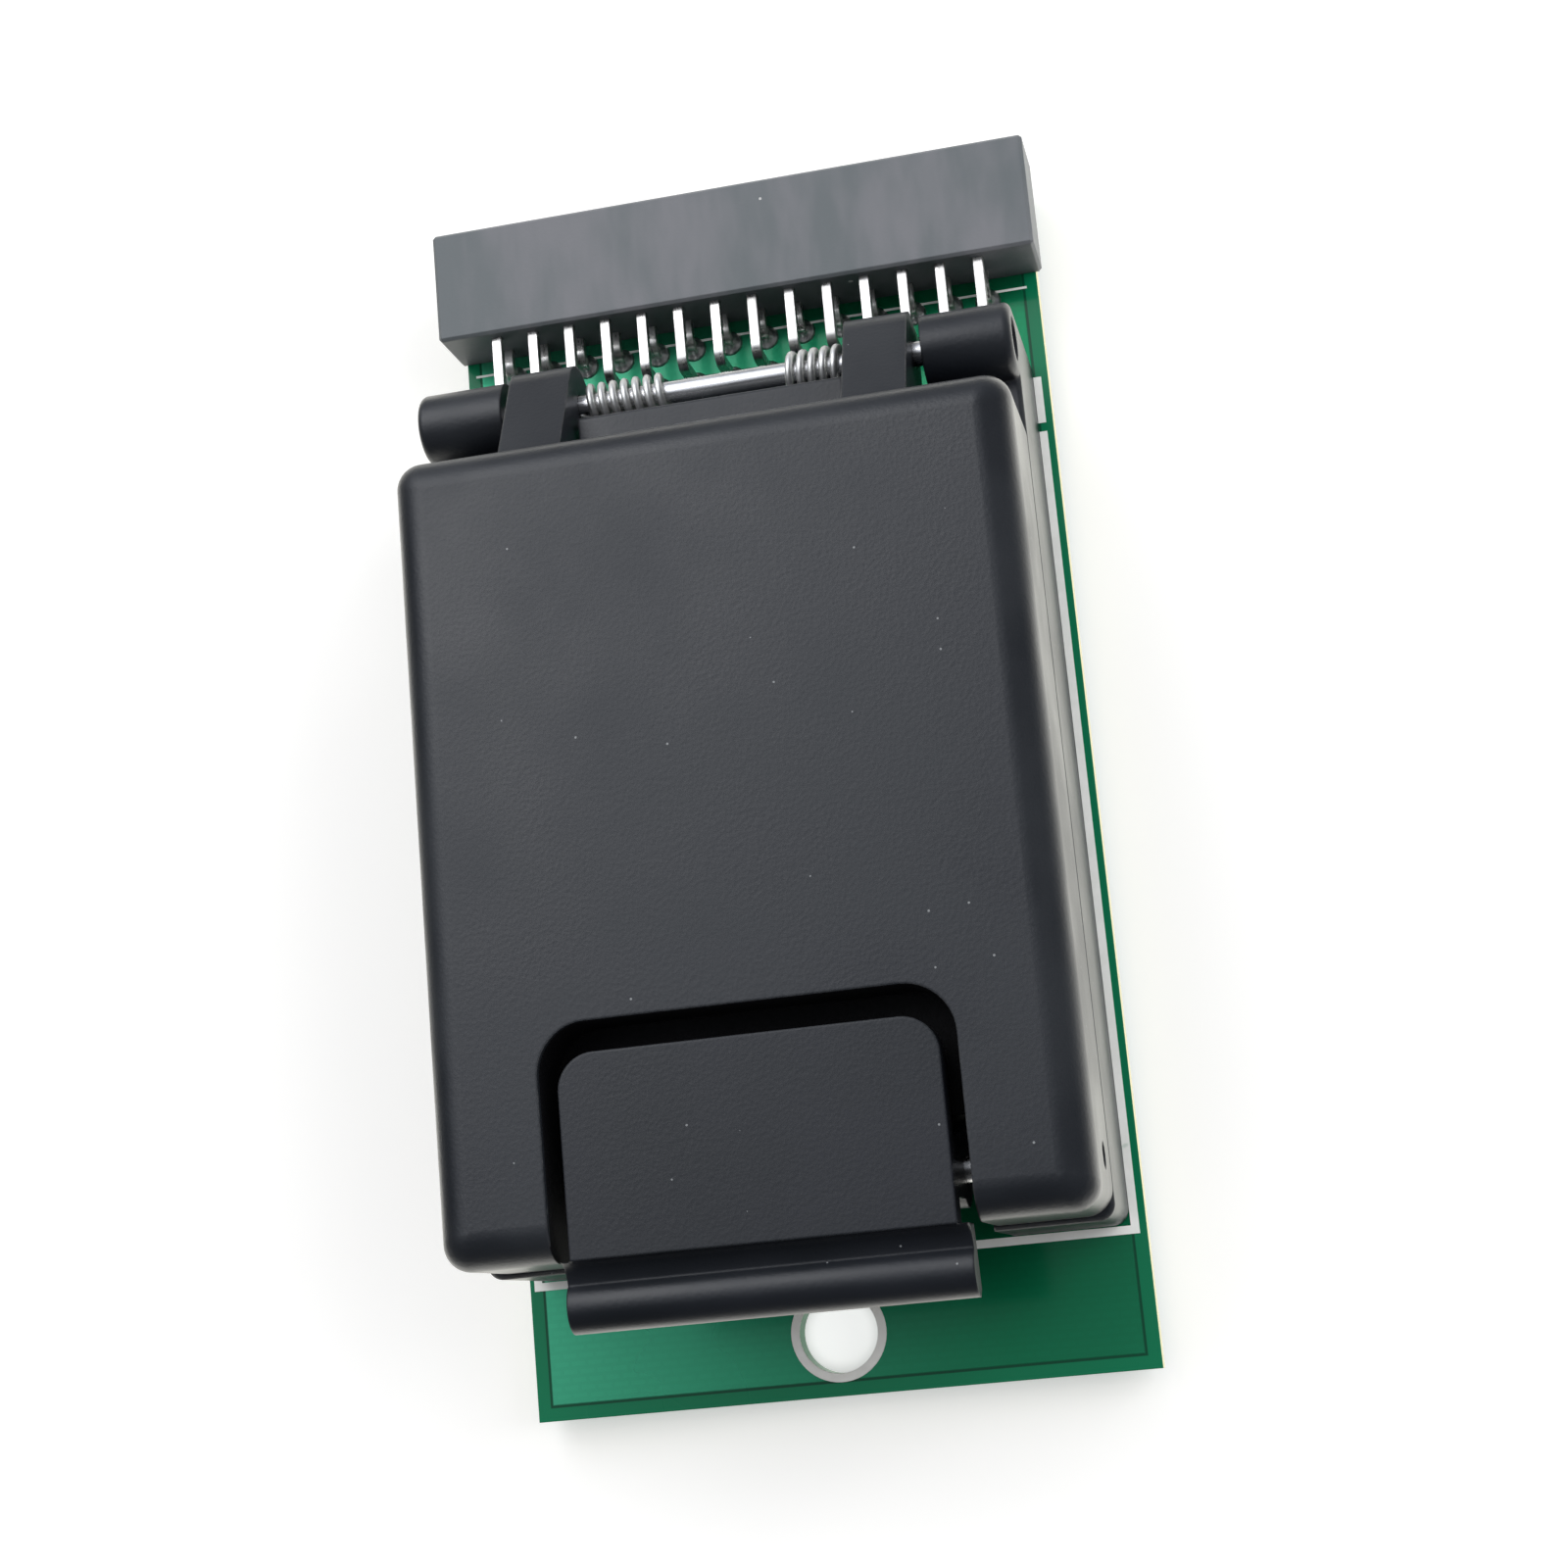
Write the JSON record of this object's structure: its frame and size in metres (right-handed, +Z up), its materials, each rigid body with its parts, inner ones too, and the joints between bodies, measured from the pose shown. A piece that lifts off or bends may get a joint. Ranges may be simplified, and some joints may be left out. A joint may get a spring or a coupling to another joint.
{
  "type": "memory chip programmer adapter",
  "caption": "Adapter board with a hinged, latched test socket for a ball grid memory chip and a right-angle pin socket header along its rear edge.",
  "frame": {"origin": "middle of the outline on the surface that the adapter stands on", "axes": "+X along the header, +Y from the latch towards the header, +Z up"},
  "size_m": [0.0406, 0.0794, 0.0227],
  "materials": {
    "board": "green solder mask on glass laminate",
    "pad": "tinned",
    "header": "moulded, matt",
    "contact": "tin plated",
    "solder": "bright solder",
    "housing": "moulded, fine eroded texture",
    "block": "machined, satin",
    "gold": "gold plated",
    "insert": "turned",
    "steel": "ground, bright",
    "spring": "drawn wire",
    "plate": "anodised, satin"
  },
  "bodies": {
    "adapter": {"circuit_board": "board", "mount_ring": "pad", "header_housing": "header", "header_contacts_upper": "contact", "header_contacts_lower": "contact", "solder_joints": "solder", "socket_base": "housing", "contact_block": "block", "locating_dowels": "steel", "chip_guide": "block", "guide_screws": "steel", "threaded_inserts": "insert", "socket_screws": "steel", "hinge_pin": "steel", "hinge_spring_left": "spring", "hinge_spring_right": "spring"},
    "lid": {"lid": "housing", "pressure_springs": "spring", "shoulder_screws": "steel", "latch_pin": "steel"},
    "pressure_plate": {"pressure_plate": "plate"},
    "latch": {"latch": "housing", "latch_spring": "spring"},
    "probe_tips": {"probe_tips": "gold"}
  },
  "joints": [
    {"name": "lid_hinge", "type": "hinge", "parent": "adapter", "child": "lid", "pos_m": [0, 0.02337, 0.0141], "axis": [-1, 0, 0], "range_deg": [0, 105], "deforming": ["hinge_spring_left", "hinge_spring_right"]},
    {"name": "plate_slide", "type": "slide", "parent": "lid", "child": "pressure_plate", "axis": [0, 0, 1], "range_m": [0, 0.0005], "stiffness_N_per_m": 2000, "springref_m": -0.001, "deforming": ["pressure_springs"]},
    {"name": "latch_pivot", "type": "hinge", "parent": "lid", "child": "latch", "pos_m": [0, -0.02738, 0.0166], "axis": [-1, 0, 0], "range_deg": [0, 12], "stiffness_Nm_per_rad": 0.02, "springref_deg": -17.19},
    {"name": "probe_travel", "type": "slide", "parent": "adapter", "child": "probe_tips", "axis": [0, 0, -1], "range_m": [0, 0.0003], "stiffness_N_per_m": 1000, "springref_m": -0.0003}
  ]
}
